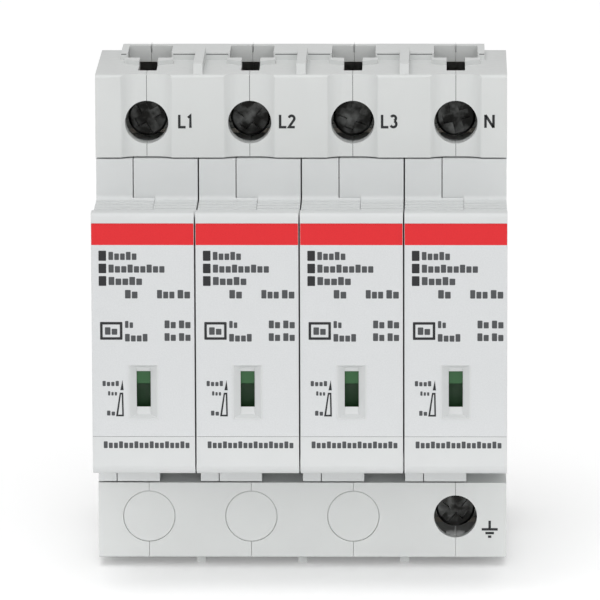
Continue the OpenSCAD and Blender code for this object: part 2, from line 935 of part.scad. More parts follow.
// Grip grooves over a stretch of the nose, above and below
module grip_grooves(x0, x1, shift) {
    first_y = shoulder_y - shelf_fillet - groove_pitch / 2 - shift;
    for (k = [0 : groove_count - 1], z = [shelf, -nose_half])
        translate([x0, first_y - k * groove_pitch, z])
            rotate([0, 90, 0])
                translate([-groove_depth, -groove_width / 2, 0])
                    cube([2 * groove_depth, groove_width, x1 - x0]);
}

// Status window with bevelled edges
module window_cut() {
    half = window_width / 2;
    bevel_y = nose_y + window_bevel;
    inside_y = nose_y + 2 * cartridge_wall;
    flare = window_side_bevel / window_bevel * (window_bevel + past);
    end_flare = window_end_bevel / window_bevel * (window_bevel + past);
    intersection() {
        translate([0, 0, window_low - end_flare])
            linear_extrude(height = window_height + 2 * end_flare)
                polygon([
                    [-half - flare, nose_y - past],
                    [half + flare, nose_y - past],
                    [half, bevel_y],
                    [half, inside_y],
                    [-half, inside_y],
                    [-half, bevel_y]
                ]);
        along_row(-half - flare, half + flare, [
            [nose_y - past, window_low - end_flare],
            [bevel_y, window_low],
            [nose_room_y, window_low + window_ramp_low],
            [inside_y, window_low + window_ramp_low],
            [inside_y, window_top - window_ramp_top],
            [nose_room_y, window_top - window_ramp_top],
            [bevel_y, window_top],
            [nose_y - past, window_top + end_flare]
        ]);
    }
}

// Closed hollow housing of a cartridge before it is parted
module cartridge_housing() {
    nose_floor = cartridge_wall - nose_half;
    difference() {
        along_row(-cart_half, cart_half, cartridge_outline);
        block(
            [-room_half, nose_room_y, nose_floor],
            [room_half, shoulder_y + recess_depth, shelf - cartridge_wall]
        );
        block(
            [-room_half, ledge_back_y, nose_floor],
            [room_half, plug_room_y, plug_half - cartridge_wall]
        );
        block(
            [-room_half, shoulder_y + recess_depth + cartridge_wall, cartridge_wall - plug_half],
            [room_half, plug_room_y, 0]
        );
        block(
            [recess_x, shoulder_y - past, -plug_half - past],
            [cart_half + past, shoulder_y + recess_depth, -recess_low]
        );
        grip_grooves(-cart_half - past, part_nose_x, 0);
        grip_grooves(part_nose_x, cart_half + past, groove_pitch / 2);
        window_cut();
        for (z = [-blade_height, blade_height])
            block(
                [-blade_width / 2 - seat_gap, plug_room_y - past, z - blade_thickness / 2 - seat_gap],
                [blade_width / 2 + seat_gap, plug_end_y + past, z + blade_thickness / 2 + seat_gap]
            );
    }
}

// Space of the cover, right of the stepped parting line, grown by a gap and by another on the nose
module cover_space(gap, nose_gap) {
    right = cart_half + past;
    block(
        [part_nose_x - nose_gap, front_plate_y - nose_gap, -plug_half - past],
        [right, shoulder_y + weld, plug_half + past]
    );
    block(
        [part_top_x - gap, shoulder_y - gap, 0],
        [right, plug_end_y + past, plug_half + past]
    );
    block(
        [part_low_x - gap, shoulder_y - gap, -plug_half - past],
        [right, plug_end_y + past, weld]
    );
}

// Holders that keep the varistor between the two halves of the housing
module varistor_holders(x0, x1, heights) {
    for (y = [varistor_front_y + holder_inset, varistor_back_y - 3 * holder_inset], z = heights)
        block(
            [x0, y, z - holder_width],
            [x1, y + holder_width, z + holder_width]
        );
}

// Left half of a cartridge, with its whole front plate
module cartridge_body(i) {
    color([0.87, 0.88, 0.88])
        translate([pole_x(i), 0, 0]) {
            difference() {
                cartridge_housing();
                cover_space(cover_seam, nose_seam);
            }
            varistor_holders(-room_half - weld, varistor_left - seat_gap, [-holder_rise, 0, holder_rise]);
            for (side = [0, 1])
                mirror([side, 0, 0])
                    block(
                        [flag_half + slide_gap, nose_room_y - weld, cartridge_wall - nose_half - weld],
                        [flag_half + slide_gap + guide_width, guide_end_y, wing_low - slide_gap]
                    );
            block(
                [-flag_half, nose_room_y - weld, flag_stop],
                [flag_half, guide_end_y, flag_stop + guide_width]
            );
            block(
                [-room_half - weld, nose_room_y - weld, spring_ledge - cartridge_wall],
                [-flag_half - slide_gap - guide_width / 2, flag_plate_y, spring_ledge]
            );
        }
}

// Right half of a cartridge
module cartridge_cover(i) {
    color([0.87, 0.88, 0.88])
        translate([pole_x(i), 0, 0]) {
            intersection() {
                cartridge_housing();
                cover_space(0, 0);
            }
            varistor_holders(varistor_right + seat_gap, room_half + weld, [-holder_rise, holder_rise]);
        }
}

// Varistor with rounded corners
module varistor(i) {
    across = varistor_back_y - varistor_front_y - 2 * varistor_round;
    color([0.16, 0.3, 0.45])
        translate([pole_x(i) + varistor_left, varistor_back_y - varistor_round, 0])
            rotate([90, 0, 90])
                linear_extrude(height = varistor_thickness)
                    union() {
                        translate([-across, -varistor_half])
                            square([across, varistor_side]);
                        translate([-across - varistor_round, varistor_round - varistor_half])
                            square([across + 2 * varistor_round, varistor_side - 2 * varistor_round]);
                        for (y = [-across, 0], z = [-1, 1])
                            translate([y, z * (varistor_half - varistor_round)])
                                circle(r = varistor_round);
                    }
}

// Blade of a cartridge with a tapered tip
module blade(z) {
    translate([0, 0, z])
        along_row(-blade_width / 2, blade_width / 2, [
            [blade_root_y, -blade_thickness / 2],
            [blade_tip_y - 2 * blade_taper, -blade_thickness / 2],
            [blade_tip_y, blade_taper - blade_thickness / 2],
            [blade_tip_y, blade_thickness / 2 - blade_taper],
            [blade_tip_y - 2 * blade_taper, blade_thickness / 2],
            [blade_root_y, blade_thickness / 2]
        ]);
}

// Upper blade, which the disconnector strip meets from below
module upper_blade(i) {
    color([0.8, 0.62, 0.42])
        translate([pole_x(i), 0, 0])
            blade(blade_height);
}

// Lower blade with a riser to the varistor
module lower_blade(i) {
    color([0.8, 0.62, 0.42])
        translate([pole_x(i), 0, 0]) {
            blade(-blade_height);
            block(
                [-blade_width / 2, blade_root_y, -blade_height],
                [blade_width / 2, blade_root_y + blade_thickness, -varistor_half - seat_gap]
            );
        }
}

// Spring strip soldered to the varistor at one end and to the upper blade at the other
module disconnector(i) {
    pad_y = (varistor_front_y + varistor_back_y) / 2;
    strip_y = blade_root_y + arm_width / 2;
    color([0.85, 0.66, 0.45])
        translate([pole_x(i), 0, 0])
            along_row(arm_right - arm_thickness, arm_right, [
                [pad_y - arm_pad / 2, -arm_width / 2],
                [strip_y + arm_width / 2, -arm_width / 2],
                [strip_y + arm_width / 2, blade_height - blade_thickness / 2 - seat_gap],
                [strip_y - arm_width / 2, blade_height - blade_thickness / 2 - seat_gap],
                [strip_y - arm_width / 2, arm_width / 2],
                [pad_y - arm_pad / 2, arm_width / 2]
            ]);
}

// Status flag: a front block, a deeper tongue below it and a wing for its spring
module status_flag(i) {
    color([0.2, 0.45, 0.25])
        translate([pole_x(i), 0, 0]) {
            along_row(-flag_half, flag_half, [
                [flag_front_y, flag_step],
                [flag_front_y, flag_top],
                [flag_back_y, flag_top],
                [flag_back_y, flag_low],
                [flag_plate_y, flag_low],
                [flag_plate_y, flag_step]
            ]);
            block(
                [wing_x, flag_front_y, wing_low],
                [weld - flag_half, flag_plate_y, wing_low + wing_height]
            );
        }
}

// Spring that lifts the status flag once the strip lets go
module flag_spring(i) {
    color([0.7, 0.7, 0.72])
        translate([pole_x(i) + flag_spring_x, flag_spring_y, spring_ledge + seat_gap])
            coil(spring_radius, spring_wire, wing_low - spring_ledge - 2 * seat_gap, spring_turns);
}

base_shell(0);  // base_end_left
for (i = [1 : poles - 1])
    base_shell(i);
base_shell(poles);  // base_end_right
tie_rivets();
blanking_plugs();
for (t = [0 : poles]) {
    terminal_screw(t);
    terminal_cage(t);
}
for (i = [1 : poles])
    line_contact(i);
earth_busbar();
rail_clip(clip_xs[0]);  // rail_clip_left
rail_clip(clip_xs[1]);  // rail_clip_right
rail_clip_spring(clip_xs[0]);  // rail_clip_spring_left
rail_clip_spring(clip_xs[1]);  // rail_clip_spring_right
for (i = [1 : poles]) {
    cartridge_body(i);
    cartridge_cover(i);
    varistor(i);
    upper_blade(i);
    lower_blade(i);
    disconnector(i);
    status_flag(i);
    flag_spring(i);
}
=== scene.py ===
import json
import math

import bmesh
import bpy
from mathutils import Matrix, Vector


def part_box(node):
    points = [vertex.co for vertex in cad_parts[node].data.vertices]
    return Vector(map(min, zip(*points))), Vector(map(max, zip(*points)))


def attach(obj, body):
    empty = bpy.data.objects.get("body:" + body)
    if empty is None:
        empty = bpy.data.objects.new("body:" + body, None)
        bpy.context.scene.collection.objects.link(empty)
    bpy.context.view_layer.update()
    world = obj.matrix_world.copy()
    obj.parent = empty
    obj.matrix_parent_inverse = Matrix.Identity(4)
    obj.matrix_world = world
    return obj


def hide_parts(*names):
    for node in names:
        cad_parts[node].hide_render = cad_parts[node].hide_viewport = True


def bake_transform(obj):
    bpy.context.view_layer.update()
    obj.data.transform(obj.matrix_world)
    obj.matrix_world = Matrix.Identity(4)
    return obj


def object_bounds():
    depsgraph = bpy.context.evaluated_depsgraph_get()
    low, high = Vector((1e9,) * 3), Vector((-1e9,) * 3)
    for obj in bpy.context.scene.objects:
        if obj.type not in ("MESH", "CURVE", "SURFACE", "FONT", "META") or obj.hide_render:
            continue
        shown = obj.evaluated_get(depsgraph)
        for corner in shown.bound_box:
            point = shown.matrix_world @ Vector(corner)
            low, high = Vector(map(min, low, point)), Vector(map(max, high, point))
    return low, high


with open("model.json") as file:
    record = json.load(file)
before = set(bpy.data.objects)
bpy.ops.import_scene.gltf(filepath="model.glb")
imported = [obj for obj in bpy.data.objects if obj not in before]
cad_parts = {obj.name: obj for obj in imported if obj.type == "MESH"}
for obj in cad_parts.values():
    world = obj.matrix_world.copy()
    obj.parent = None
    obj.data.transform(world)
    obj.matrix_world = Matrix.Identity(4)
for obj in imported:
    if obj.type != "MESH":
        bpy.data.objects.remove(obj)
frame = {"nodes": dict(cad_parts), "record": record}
cad_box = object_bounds()
nodes = frame["nodes"]
MM = 0.001
POLES = 4


# Places read from the CAD nodes, in mm
def low(node):
    return [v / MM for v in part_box(node)[0]]


def high(node):
    return [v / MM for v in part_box(node)[1]]


def middle_x(node):
    return (low(node)[0] + high(node)[0]) / 2


NOSE_Y = low("cartridge_body_1")[1]
SHOULDER_Y = low("base_frame_1")[1]
POLE_HALF = (high("cartridge_body_1")[0] - low("cartridge_body_1")[0]) / 2
POLE_X = [middle_x(f"cartridge_body_{i}") for i in range(1, POLES + 1)]

# Materials, with lengths in metres and noise scales per metre
# Noise seldom leaves this range, so colour and gloss run over it
NOISE_LOW, NOISE_HIGH = 0.3, 0.7
# Heights between which the flag turns from red to green
FLAG_SPLIT = (-0.0146, -0.0134)
FLAG_RED, FLAG_GREEN = (190, 44, 40), (33, 88, 42)


def linear(r, g, b):
    """Colour given as 0 to 255 on a screen, as a shader takes it."""
    def one(c):
        c /= 255
        return c / 12.92 if c <= 0.04045 else ((c + 0.055) / 1.055) ** 2.4
    return (one(r), one(g), one(b), 1.0)


def grey(level):
    return (level, level, level, 1)


class Nodes:
    """A node tree that is built up step by step."""

    def __init__(self, tree):
        self.tree = tree

    def add(self, kind, **settings):
        node = self.tree.nodes.new(kind)
        for key, value in settings.items():
            setattr(node, key, value)
        return node

    def link(self, a, b):
        self.tree.links.new(a, b)

    def maths(self, operation, *values):
        """Result of a math node on sockets and numbers."""
        node = self.add("ShaderNodeMath", operation=operation)
        for socket, value in zip(node.inputs, values):
            if isinstance(value, bpy.types.NodeSocket):
                self.link(value, socket)
            else:
                socket.default_value = value
        return node.outputs[0]

    def ramp(self, fac, stops):
        node = self.add("ShaderNodeValToRGB")
        for element, (place, colour) in zip(node.color_ramp.elements, stops):
            element.position = place
            element.color = colour
        self.link(fac, node.inputs["Fac"])
        return node.outputs["Color"]


class Shader(Nodes):
    """A material in which noise varies colour, gloss and relief."""

    def __init__(self, name):
        self.mat = bpy.data.materials.new(name)
        self.mat.use_nodes = True
        super().__init__(self.mat.node_tree)
        self.bsdf = self.tree.nodes["Principled BSDF"]
        self.coords = self.add("ShaderNodeTexCoord").outputs["Object"]

    def fix(self, socket, value):
        self.bsdf.inputs[socket].default_value = value

    def feed(self, value, socket):
        self.link(value, self.bsdf.inputs[socket])

    def noise(self, scale, detail=3.0, rough=0.5, stretch=None):
        node = self.add("ShaderNodeTexNoise")
        node.inputs["Scale"].default_value = scale
        node.inputs["Detail"].default_value = detail
        node.inputs["Roughness"].default_value = rough
        vector = self.coords
        if stretch:
            mapping = self.add("ShaderNodeMapping")
            mapping.inputs["Scale"].default_value = stretch
            self.link(self.coords, mapping.inputs["Vector"])
            vector = mapping.outputs["Vector"]
        self.link(vector, node.inputs["Vector"])
        return node.outputs["Fac"]

    def scaled(self, value, start, end, least=0.0, most=1.0):
        """Value from start to end, spread over least to most."""
        node = self.add("ShaderNodeMapRange")
        node.inputs["From Min"].default_value = start
        node.inputs["From Max"].default_value = end
        node.inputs["To Min"].default_value = least
        node.inputs["To Max"].default_value = most
        self.link(value, node.inputs["Value"])
        return node.outputs["Result"]

    def tone(self, colour, spread, scale, stretch=None):
        """Base colour that drifts a little lighter and darker over the surface."""
        dark = tuple(c * (1 - spread) for c in colour[:3]) + (1,)
        light = tuple(min(1, c * (1 + spread)) for c in colour[:3]) + (1,)
        drift = self.noise(scale, detail=4, stretch=stretch)
        self.feed(self.ramp(drift, [(NOISE_LOW, dark), (NOISE_HIGH, light)]), "Base Color")

    def roughness(self, least, most, scale, stretch=None):
        """Gloss that varies between two values over the surface."""
        drift = self.noise(scale, detail=2, stretch=stretch)
        self.feed(self.scaled(drift, NOISE_LOW, NOISE_HIGH, least, most), "Roughness")

    def bump(self, scale, distance, strength, stretch=None):
        """Fine relief of the surface."""
        node = self.add("ShaderNodeBump")
        node.inputs["Distance"].default_value = distance
        node.inputs["Strength"].default_value = strength
        self.link(self.noise(scale, 2, 0.6, stretch), node.inputs["Height"])
        self.feed(node.outputs["Normal"], "Normal")


def moulded(name, colour, rough=0.46, grain=0.35):
    """Injection-moulded plastic with a fine eroded texture."""
    s = Shader(name)
    s.tone(linear(*colour), spread=0.012, scale=140)
    s.roughness(rough - 0.05, rough + 0.07, scale=900)
    s.bump(scale=5200, distance=0.00003, strength=grain)
    s.fix("Specular IOR Level", 0.4)
    return s.mat


def metal(name, colour, rough, stretch, spread=0.06, grain=0.2):
    """Metal with fine drawn or rolled lines along one axis."""
    s = Shader(name)
    s.tone(linear(*colour), spread, scale=700, stretch=stretch)
    s.roughness(rough - 0.08, rough + 0.1, scale=2600, stretch=stretch)
    s.bump(scale=3600, distance=0.00002, strength=grain, stretch=stretch)
    s.fix("Metallic", 1.0)
    return s.mat


def blackened(name):
    """Oiled black steel with grey patches painted in as glints."""
    s = Shader(name)
    # Grey patches on the dark steel are painted glints
    painted_glints = s.noise(scale=420, detail=3, rough=0.55)
    oiled, glint_grey = linear(30, 30, 29), linear(84, 85, 84)
    s.feed(s.ramp(painted_glints, [(0.42, oiled), (0.72, glint_grey)]), "Base Color")
    s.roughness(0.3, 0.46, scale=900)
    s.bump(scale=900, distance=0.00008, strength=0.35)
    s.fix("Metallic", 1.0)
    return s.mat


def printed(name, colour):
    """Ink or film: even, with the slight speckle of print."""
    s = Shader(name)
    s.tone(linear(*colour), spread=0.03, scale=4200)
    s.roughness(0.44, 0.52, scale=1500)
    s.fix("Specular IOR Level", 0.25)
    return s.mat


def dipped(name, colour):
    """Epoxy coating with long shallow runs and a wet gloss."""
    s = Shader(name)
    s.tone(linear(*colour), spread=0.08, scale=260)
    s.roughness(0.16, 0.28, scale=420)
    s.bump(scale=420, distance=0.00012, strength=0.35)
    s.fix("Coat Weight", 0.3)
    return s.mat


def two_coloured(name):
    """Green flag whose tongue is red below the part that shows at rest."""
    s = Shader(name)
    split = s.add("ShaderNodeSeparateXYZ")
    s.link(s.coords, split.inputs["Vector"])
    height = s.scaled(split.outputs["Z"], *FLAG_SPLIT)
    zone = s.ramp(height, [(0.0, linear(*FLAG_RED)), (1.0, linear(*FLAG_GREEN))])
    tint = s.ramp(s.noise(scale=900), [(NOISE_LOW, grey(0.94)), (NOISE_HIGH, grey(1))])
    mix = s.add("ShaderNodeMix", data_type="RGBA", blend_type="MULTIPLY")
    mix.inputs["Factor"].default_value = 1.0
    s.link(zone, mix.inputs["A"])
    s.link(tint, mix.inputs["B"])
    s.feed(mix.outputs["Result"], "Base Color")
    s.roughness(0.4, 0.5, scale=900)
    s.bump(scale=5200, distance=0.00003, strength=0.3)
    return s.mat


ROLLED_X, DRAWN_Y, EVEN = (0.15, 1, 1), (1, 0.12, 1), (1, 1, 1)
LOOKS = {
    "base_plastic": moulded("base_grey_plastic", (212, 214, 213)),
    "cartridge_plastic": moulded("cartridge_grey_plastic", (213, 215, 215)),
    "clip_plastic": moulded("clip_dark_plastic", (74, 77, 80), rough=0.5, grain=0.5),
    "flag_plastic": two_coloured("flag_green_red"),
    "screw_steel": blackened("blackened_steel"),
    "plated_steel": metal("zinc_plated_steel", (158, 159, 156), 0.3, ROLLED_X, spread=0.1, grain=0.35),
    "spring_steel": metal("spring_wire", (172, 172, 176), 0.3, EVEN),
    "contact_copper": metal("tinned_copper", (196, 190, 180), 0.34, DRAWN_Y),
    "varistor_coat": dipped("varistor_blue_epoxy", (44, 84, 128)),
}
label_film = printed("label_film", (214, 216, 217))
label_red = printed("label_red", (221, 40, 46))
ink_dark = printed("ink_dark_grey", (42, 43, 45))
# Mid grey for print, and for strips of painted shade in gaps and seams
mid_grey_ink_and_shade = printed("mid_grey_ink_and_painted_shade", (78, 80, 82))

# Widths of the rounded edges in mm, and the angles in degrees below which an edge stays crisp
EDGES = {
    "base_plastic": 0.22,
    "cartridge_plastic": 0.1,
    "clip_plastic": 0.2,
    "flag_plastic": 0.15,
    "screw_steel": 0.12,
    "plated_steel": 0.15,
    "contact_copper": 0.1,
    "varistor_coat": 0.6,
}
CRISP_BELOW = {"base_plastic": 52}
MOST_CRISP_BELOW = 30
EDGE_STEPS = 2
WELD_GAP = 1e-6
FLAT_ANGLE = 0.5
FLAT_WEIGHT = 60


def soften(obj, width, crisp_below):
    """Rounded edges on a CAD node, by modifiers alone."""
    weld = obj.modifiers.new("weld", "WELD")
    weld.merge_threshold = WELD_GAP
    flat = obj.modifiers.new("flat", "DECIMATE")
    flat.decimate_type = "DISSOLVE"
    flat.angle_limit = math.radians(FLAT_ANGLE)
    bevel = obj.modifiers.new("edge", "BEVEL")
    bevel.width = width * MM
    bevel.segments = EDGE_STEPS
    bevel.limit_method = "ANGLE"
    bevel.angle_limit = math.radians(crisp_below)
    normal = obj.modifiers.new("normal", "WEIGHTED_NORMAL")
    normal.weight = FLAT_WEIGHT


for subpart in frame["record"]["subparts"]:
    node, slot = nodes[subpart["node"]], subpart["material_slot"]
    node.data.materials.clear()
    node.data.materials.append(LOOKS[slot])
    if slot in EDGES:
        soften(node, EDGES[slot], CRISP_BELOW.get(slot, MOST_CRISP_BELOW))


# Ways to make pieces, with outlines and depths in mm
def add_object(name, data):
    obj = bpy.data.objects.new(name, data)
    bpy.context.scene.collection.objects.link(obj)
    return obj


def add_mesh(name, bm, mat):
    mesh = bpy.data.meshes.new(name)
    bm.to_mesh(mesh)
    bm.free()
    mesh.materials.append(mat)
    return add_object(name, mesh)


def finish_piece(name, bm, mat, body):
    """Closed plates made an object that moves with a body."""
    bmesh.ops.recalc_face_normals(bm, faces=bm.faces)
    obj = add_mesh(name, bm, mat)
    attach(obj, body)


def thicken(bm, faces, back, axis=1):
    """Sheet of faces made a closed plate that reaches to that place along an axis."""
    grown = bmesh.ops.extrude_face_region(bm, geom=faces)
    for v in grown["geom"]:
        if isinstance(v, bmesh.types.BMVert):
            v.co[axis] = back * MM


def rim(bm, outline, front):
    """Points of an outline in x and z at one depth."""
    return [bm.verts.new((x * MM, front * MM, z * MM)) for x, z in outline]


def slab(bm, outline, front, back):
    """Thin plate with that outline, between two depths."""
    thicken(bm, [bm.faces.new(rim(bm, outline, front))], back)


def ring(bm, outer, inner, front, back):
    """Frame between two outlines with as many points."""
    out, within = rim(bm, outer, front), rim(bm, inner, front)
    after = [(k + 1) % len(out) for k in range(len(out))]
    faces = [bm.faces.new([out[k], out[n], within[n], within[k]]) for k, n in enumerate(after)]
    thicken(bm, faces, back)


def grid_film(bm, xs, zs, skip, front, back):
    """Sheet of cells with a hole where skip says so."""
    verts = [rim(bm, [(x, z) for z in zs], front) for x in xs]
    faces = [bm.faces.new([verts[i][k], verts[i + 1][k], verts[i + 1][k + 1], verts[i][k + 1]])
             for i in range(len(xs) - 1) for k in range(len(zs) - 1) if (i, k) not in skip]
    thicken(bm, faces, back)


def ribbon(bm, points, width, front, back):
    """Stroke of even width along a line of points in x and z."""
    left, right = [], []
    for k, p in enumerate(points):
        p = Vector(p)
        before = (p - Vector(points[k - 1])).normalized() if k else None
        after = (Vector(points[k + 1]) - p).normalized() if k < len(points) - 1 else None
        along = ((before or after) + (after or before)).normalized()
        side = Vector((-along.y, along.x))
        turn = (before or after).dot(along)
        reach = width / 2 / max(turn, SHARPEST_TURN)
        left.append(p + side * reach)
        right.append(p - side * reach)
    slab(bm, [tuple(q) for q in left] + [tuple(q) for q in reversed(right)], front, back)


def arc(cx, cz, r, start, end, steps):
    """Points from one angle to another, in degrees."""
    turns = [math.radians(start + (end - start) * k / steps) for k in range(steps + 1)]
    return [(cx + r * math.cos(a), cz + r * math.sin(a)) for a in turns]


def plain(x0, x1, z0, z1):
    """Outline of a rectangle."""
    return [(x0, z0), (x1, z0), (x1, z1), (x0, z1)]


def rounded(x0, x1, z0, z1, r):
    """Outline of a rectangle with round corners."""
    left, right, bottom, top = x0 + r, x1 - r, z0 + r, z1 - r
    corners = [(right, top, 0), (left, top, 90), (left, bottom, 180), (right, bottom, 270)]
    return [p for cx, cz, start in corners for p in arc(cx, cz, r, start, start + 90, CORNER_STEPS)]


def across(cx, z0, z1, r):
    """Outline of a strip over the whole width of a label."""
    return rounded(cx - LABEL_HALF, cx + LABEL_HALF, z0, z1, r)


def shifted(outline, x):
    return [(x + px, pz) for px, pz in outline]


def letters(bm, words, x, front, back):
    """Rows of letter-sized blocks, tall and low in turn, in the place of words."""
    for from_x, to_x, z0, z1 in words:
        x0, x1 = x + from_x, x + to_x
        count = max(1, round((x1 - x0) / (LETTER_SHARE * (z1 - z0))))
        step = (x1 - x0 + LETTER_GAP) / count
        for k in range(count):
            left = x0 + k * step
            top = z1 if k % TALL_EVERY == 0 else z1 - LOW_LETTER * (z1 - z0)
            slab(bm, rounded(left, left + step - LETTER_GAP, z0, top, LETTER_CORNER), front, back)


SHARPEST_TURN = 0.5
CORNER_STEPS = 4
LETTER_SHARE, LETTER_GAP, LETTER_CORNER = 0.74, 0.2, 0.12
TALL_EVERY, LOW_LETTER = 3, 0.2

# Labels, each in a shallow recess of its cartridge: front and back of film, ink on it and bare ink
FILM = (NOSE_Y + 0.06, NOSE_Y + 0.15)
INK = (NOSE_Y + 0.04, NOSE_Y + 0.06)
BARE_INK = (NOSE_Y - 0.003, NOSE_Y + 0.03)

# Strips by z and corner, and the window by half its width and z
LABEL_HALF, LABEL_LOW, LABEL_HIGH = POLE_HALF - 0.06, -16.1, 17.28
RED_BAND = (LABEL_HIGH, 21.0, 0.12)
HAIRLINE = (21.07, 21.27, 0.05)
# The strip along the label's lower edge is a line of painted shade along the film's edge
LABEL_EDGE_SHADE = (-16.09, -16.053, 0.01)
WINDOW_HALF, WINDOW_LOW, WINDOW_HIGH = 2.6, -13.1, -3.6
WINDOW_CELL = (1, 1)

# Words by x from the pole's centre and by z, heavy ones first
HEAVY_WORDS = [(-7.5, -6.2, 14.55, 16.3), (-7.5, -6.2, 12.4, 14.05), (-7.5, -6.2, 10.2, 11.9)]
WORDS = [
    (-5.8, -1.02, 14.7, 16.1), (-5.8, 3.74, 12.5, 13.9), (-5.8, -0.11, 10.35, 11.75),
    (-3.02, -0.89, 8.02, 9.49), (2.44, 5.4, 8.02, 9.49), (5.95, 8.07, 8.02, 9.49),
    (-6.5, -4.4, 1.7, 3.0), (-3.06, -1.7, 2.88, 4.1), (-3.08, 0.76, 0.53, 1.84),
    (3.69, 5.6, 2.84, 4.19), (6.15, 8.12, 2.84, 4.19),
    (3.67, 5.6, 0.63, 1.98), (6.15, 8.11, 0.63, 1.98),
    (-6.99, -4.2, -7.25, -6.35), (-6.06, -4.53, -8.9, -8.15), (-6.26, -4.9, -12.4, -11.55),
]
BARE_WORDS = [(-6.87, 7.82, -18.1, -16.9)]
FRAME_OUTER = rounded(-7.33, -3.51, 0.83, 3.92, 0.12)
FRAME_INNER = rounded(-6.89, -3.95, 1.27, 3.48, 0.05)
POINTER = [(-3.57, -6.18), (-3.95, -7.97), (-3.38, -7.97)]
WEDGE_OUTER = [(-4.06, -8.4), (-3.46, -8.4), (-3.38, -12.54), (-4.72, -12.54)]
WEDGE_INNER = [(-3.86, -8.72), (-3.72, -8.72), (-3.66, -12.24), (-4.36, -12.24)]

for i, cx in enumerate(POLE_X, 1):
    body = f"cartridge_{i}"
    bm = bmesh.new()
    columns = [cx - LABEL_HALF, cx - WINDOW_HALF, cx + WINDOW_HALF, cx + LABEL_HALF]
    rows = [LABEL_LOW, WINDOW_LOW, WINDOW_HIGH, LABEL_HIGH]
    grid_film(bm, columns, rows, {WINDOW_CELL}, *FILM)
    slab(bm, across(cx, *HAIRLINE), *BARE_INK)
    finish_piece(f"label_film_{i}", bm, label_film, body)
    bm = bmesh.new()
    slab(bm, across(cx, *RED_BAND), *FILM)
    finish_piece(f"label_band_{i}", bm, label_red, body)
    bm = bmesh.new()
    letters(bm, HEAVY_WORDS, cx, *INK)
    ring(bm, shifted(FRAME_OUTER, cx), shifted(FRAME_INNER, cx), *INK)
    slab(bm, shifted(POINTER, cx), *INK)
    ring(bm, shifted(WEDGE_OUTER, cx), shifted(WEDGE_INNER, cx), *INK)
    finish_piece(f"label_dark_print_{i}", bm, ink_dark, body)
    bm = bmesh.new()
    letters(bm, WORDS, cx, *INK)
    letters(bm, BARE_WORDS, cx, *BARE_INK)
    # Line of painted shade along the label's lower edge
    slab(bm, across(cx, *LABEL_EDGE_SHADE), *INK)
    finish_piece(f"label_pale_print_and_edge_shade_{i}", bm, mid_grey_ink_and_shade, body)

# Generic terminal marks, as strokes of a pen in x and z
GLYPHS = {
    "L": [[(0.12, 2.4), (0.12, 0.12), (1.3, 0.12)]],
    "1": [[(0.1, 1.85), (0.55, 2.25), (0.55, 0.0)]],
    "2": [arc(0.62, 1.72, 0.52, 165, -35, 8) + [(0.12, 0.13), (1.22, 0.13)]],
    "3": [arc(0.58, 1.76, 0.48, 150, -70, 8), arc(0.58, 0.68, 0.56, 75, -155, 10)],
    "N": [[(0.12, 0.0), (0.12, 2.4)], [(0.12, 2.36), (1.62, 0.04)], [(1.62, 0.0), (1.62, 2.4)]],
}
GLYPH_WIDE, GLYPH_HIGH, GLYPH_STEP = 0.92, 0.95, 1.52
MARKS = [(-21.14, "L1"), (-3.73, "L2"), (13.87, "L3"), (31.7, "N")]
MARK_LOW, MARK_PEN = 33.97, 0.44
MARK_DEPTHS = (SHOULDER_Y - 0.02, SHOULDER_Y + 0.03)
EARTH_X = 32.66
EARTH = [
    [(0, -35.5), (0, -37.05)],
    [(-1.4, -37.05), (1.4, -37.05)],
    [(-0.75, -37.72), (0.75, -37.72)],
    [(-0.3, -38.36), (0.3, -38.36)],
]
bm = bmesh.new()
for x, word in MARKS:
    for glyph in word:
        for stroke in GLYPHS[glyph]:
            points = [(x + px * GLYPH_WIDE, MARK_LOW + pz * GLYPH_HIGH) for px, pz in stroke]
            ribbon(bm, points, MARK_PEN, *MARK_DEPTHS)
        x += GLYPH_STEP
for stroke in EARTH:
    ribbon(bm, shifted(stroke, EARTH_X), MARK_PEN, *MARK_DEPTHS)
finish_piece("terminal_marks", bm, ink_dark, "base")

# Dark strip painted as the shade in the gap under the top of the roof's back wall, between the wire
# entries and the ribs
WALL_Y, WALL_LINE, WALL_END = SHOULDER_Y + 16.3, (44.12, 44.26), 31.7
WALL_DEPTHS = (WALL_Y - 0.01, WALL_Y + 0.05)
ENTRY_HALF, RIB_HALF = 4.1, 0.95
breaks = [(x, ENTRY_HALF) for x in POLE_X]
breaks += [((a + b) / 2, RIB_HALF) for a, b in zip(POLE_X, POLE_X[1:])]
ends = [-WALL_END] + sorted(x + side * half for x, half in breaks for side in (-1, 1)) + [WALL_END]
bm = bmesh.new()
for x0, x1 in zip(ends[::2], ends[1::2]):
    slab(bm, plain(x0, x1, *WALL_LINE), *WALL_DEPTHS)
finish_piece("roof_gap_painted_shade", bm, mid_grey_ink_and_shade, "base")

# Painted shade in the seams between the shells in the upper channels, above and below the screw holes
CHANNEL_Y, SEAM_HALF = SHOULDER_Y + 1.2, 0.045
SEAM_DEPTHS = (CHANNEL_Y - 0.006, CHANNEL_Y + 0.05)
SEAM_RUNS = [(28.85, 30.95), (38.55, 42.95)]
bm = bmesh.new()
for x in POLE_X:
    for run in SEAM_RUNS:
        slab(bm, plain(x - SEAM_HALF, x + SEAM_HALF, *run), *SEAM_DEPTHS)
finish_piece("shell_seam_painted_shade", bm, mid_grey_ink_and_shade, "base")

